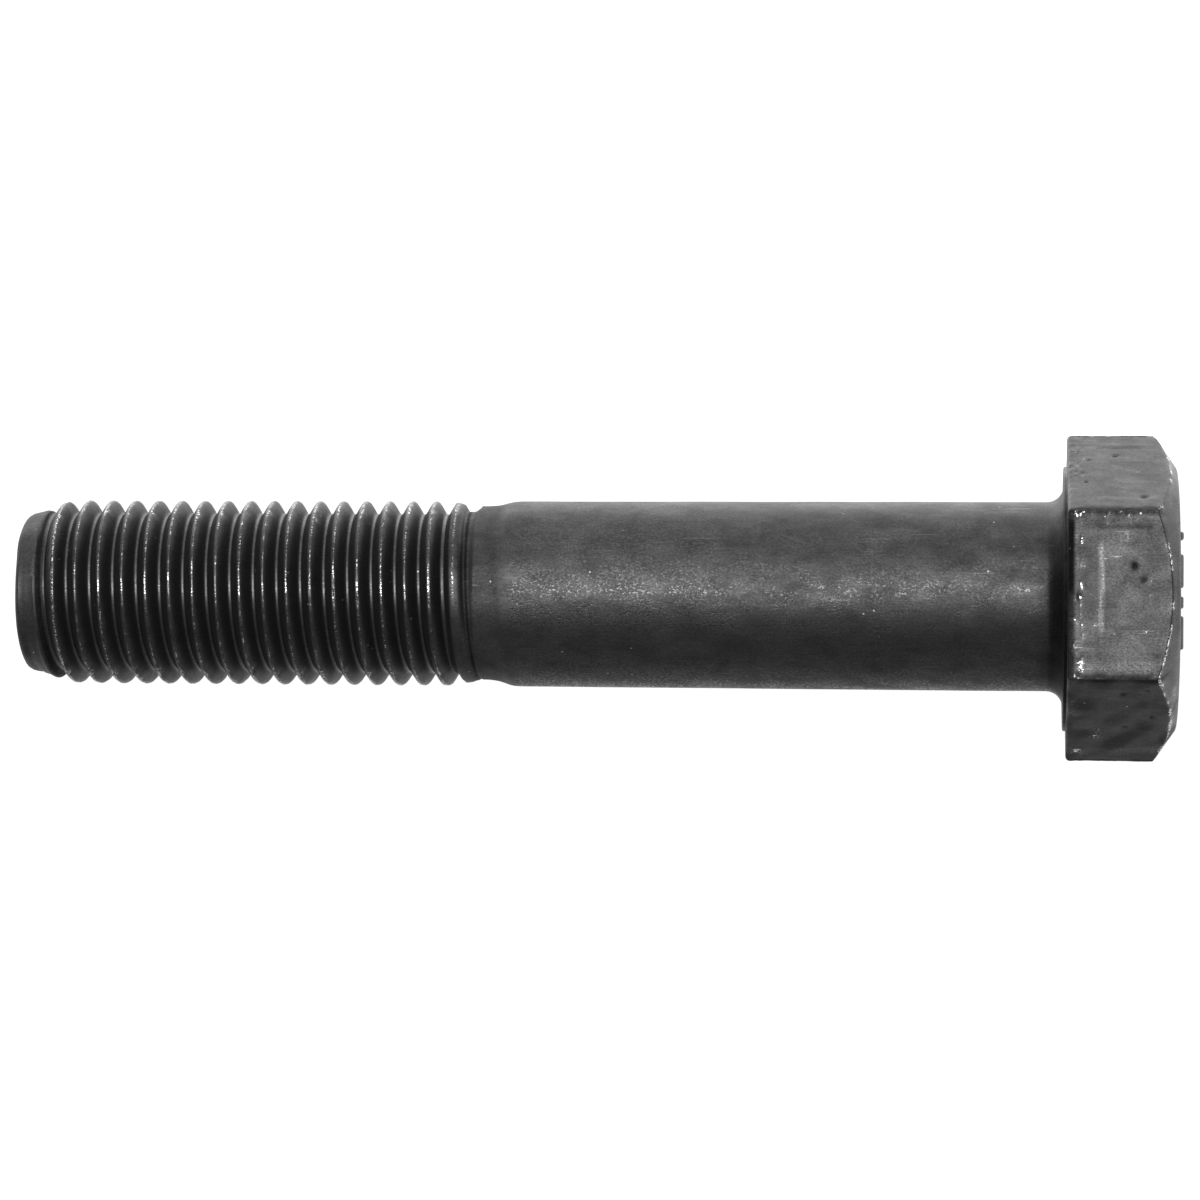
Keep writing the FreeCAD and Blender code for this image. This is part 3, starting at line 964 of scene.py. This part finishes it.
FLOOR_REACH = 2500  # from the bolt to each edge of the sheet
THREAD_CONTACT = (4.9, 9.86)  # from the tip, and from the axis

LIGHT_X = -155  # where the lights stand along the bolt
LIGHTS = (  # lean towards +Y, half angle across, in degrees; distance and length; radiance
    ("strip", 5, 5.5, 460, 560, 30),
    ("shoulder", 24, 14, 440, 600, 3.0),
    ("canopy", 17, 28, 560, 620, 3.6),
    ("window", 71, 20.5, 600, 800, 3.5),
)
SURROUND = 0.9  # strength of the white all round

LENS, SENSOR = 115.5, 36.0  # focal length and width
CAMERA_PLACE = (-4.46, -13.37, 404.81)
CAMERA_TURN = (1.852, 6.208, 0.509)  # degrees about X, Y and Z


def make_floor():
    """The sheet that the bolt lies on, touching the head's edge and a thread crest."""
    from_tip, from_axis = THREAD_CONTACT
    head_contact = Vector((WASHER_HEIGHT, 0, -HALF_FLATS))
    thread_contact = Vector((from_tip - LENGTH, 0, -from_axis))
    along = (head_contact - thread_contact).normalized() * FLOOR_REACH
    across = Vector((0, FLOOR_REACH, 0))
    corners = [(head_contact + along * i + across * j) * MM
               for i, j in ((-1, -1), (1, -1), (1, 1), (-1, 1))]
    mesh = bpy.data.meshes.new("floor")
    mesh.from_pydata(corners, [], [(0, 1, 2, 3)])
    mesh.materials.append(pale_floor())
    floor = link_object("floor", mesh)


def make_light(name, lean, half_angle, distance, length, radiance):
    """A soft rectangular light over the bolt, facing its axis and running along it."""
    lean, half_angle = math.radians(lean), math.radians(half_angle)
    width = 2 * distance * math.tan(half_angle)
    data = bpy.data.lights.new(name, "AREA")
    data.shape = "RECTANGLE"
    data.size, data.size_y = length * MM, width * MM
    data.energy = radiance * math.pi * length * width * MM * MM
    facing = Vector((0, -math.sin(lean), -math.cos(lean)))
    light = link_object(name, data)
    light.location = (Vector((LIGHT_X, 0, 0)) - facing * distance) * MM
    light.rotation_euler = facing.to_track_quat("-Z", "Y").to_euler()


def make_lights():
    """A bright strip in a broad soft one, a window-like one on the +Y side, a pale surround."""
    for light in LIGHTS:
        make_light(*light)
    world = bpy.data.worlds.new("surround")
    world.use_nodes = True
    background = world.node_tree.nodes["Background"]
    background.inputs["Color"].default_value = WHITE
    background.inputs["Strength"].default_value = SURROUND
    bpy.context.scene.world = world


def make_camera():
    """The photographer's view: from above, a little towards the head end."""
    data = bpy.data.cameras.new("camera")
    data.lens, data.sensor_width = LENS, SENSOR
    data.clip_start, data.clip_end = 0.01, 20
    camera = link_object("camera", data)
    camera.location = Vector(CAMERA_PLACE) * MM
    camera.rotation_euler = [math.radians(angle) for angle in CAMERA_TURN]
    bpy.context.scene.camera = camera


bolt = make_bolt()
finish_mesh(bolt)
bolt.data.materials.append(blackened_steel())
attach(bolt, "root")
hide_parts("hex_bolt")
make_floor()
make_lights()
make_camera()
bpy.context.scene.view_settings.view_transform = "Standard"
